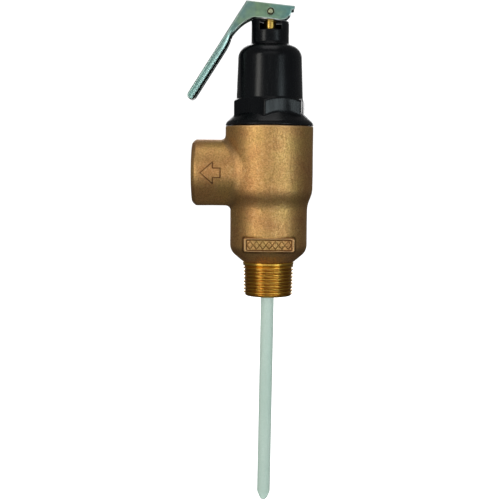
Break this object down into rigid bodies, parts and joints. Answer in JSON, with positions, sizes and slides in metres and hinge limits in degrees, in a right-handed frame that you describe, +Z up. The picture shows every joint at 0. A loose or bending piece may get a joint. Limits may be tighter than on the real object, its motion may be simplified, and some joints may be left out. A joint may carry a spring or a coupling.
{
  "type": "pressure relief valve",
  "caption": "Angle relief valve with a threaded inlet, a socket outlet at its side, a spring bonnet with a test lever, and a thermostat probe that hangs below the inlet.",
  "frame": {"origin": "centre of the inlet thread's end face", "axes": "+Z up along the valve's axis towards the lever, -X towards the outlet, -Y towards the side with the plate and the flow arrow"},
  "size_m": [0.0654, 0.0454, 0.2612],
  "materials": {
    "cast_bronze": "matte sand casting, machined bright on the thread and the hub's face",
    "black_housing": "satin black moulding",
    "steel": "zinc plated",
    "plated_lever": "stamped steel, zinc plated and passivated to an uneven green",
    "plated_pin": "zinc plated and passivated",
    "brass": "turned",
    "spring_steel": "drawn wire",
    "seal_rubber": "matte",
    "copper": "drawn tube",
    "probe_polymer": "pale green-grey coat, slightly glossy",
    "wax": "wax with copper powder"
  },
  "bodies": {
    "valve_body": {"body": "cast_bronze", "bonnet": "black_housing", "wear_washer": "steel", "adjusting_screw": "brass", "upper_spring_seat": "steel", "spring": "spring_steel", "slip_ring": "steel", "diaphragm": "seal_rubber", "thermostat_guide": "brass", "thermostat_tube": "copper", "probe_coating": "probe_polymer", "wax_charge": "wax", "element_plug": "seal_rubber"},
    "stem": {"stem": "brass", "lever_pin": "plated_pin"},
    "lever": {"lever": "plated_lever"},
    "disc": {"lower_spring_seat": "steel", "disc_holder": "brass", "seat_disc": "seal_rubber", "disc_retainer": "brass"},
    "push_rod": {"push_rod": "steel"}
  },
  "joints": [
    {"name": "stem_lift", "type": "slide", "parent": "valve_body", "child": "stem", "axis": [0, 0, 1], "range_m": [0, 0.00496], "stiffness_N_per_m": 200, "deforming": ["spring", "diaphragm"]},
    {"name": "lever_swing", "type": "hinge", "parent": "stem", "child": "lever", "pos_m": [0, 0, 0.1458], "axis": [0, 1, 0], "range_deg": [0, 55]},
    {"name": "disc_lift", "type": "slide", "parent": "stem", "child": "disc", "axis": [0, 0, 1], "range_m": [0, 0.003], "stiffness_N_per_m": 200},
    {"name": "rod_extend", "type": "slide", "parent": "valve_body", "child": "push_rod", "axis": [0, 0, 1], "range_m": [0, 0.003]}
  ],
  "couplings": [
    {"joint": "lever_swing", "follows": "stem_lift", "rad_per_m": 193.38},
    {"joint": "rod_extend", "follows": "disc_lift", "ratio": 1}
  ]
}
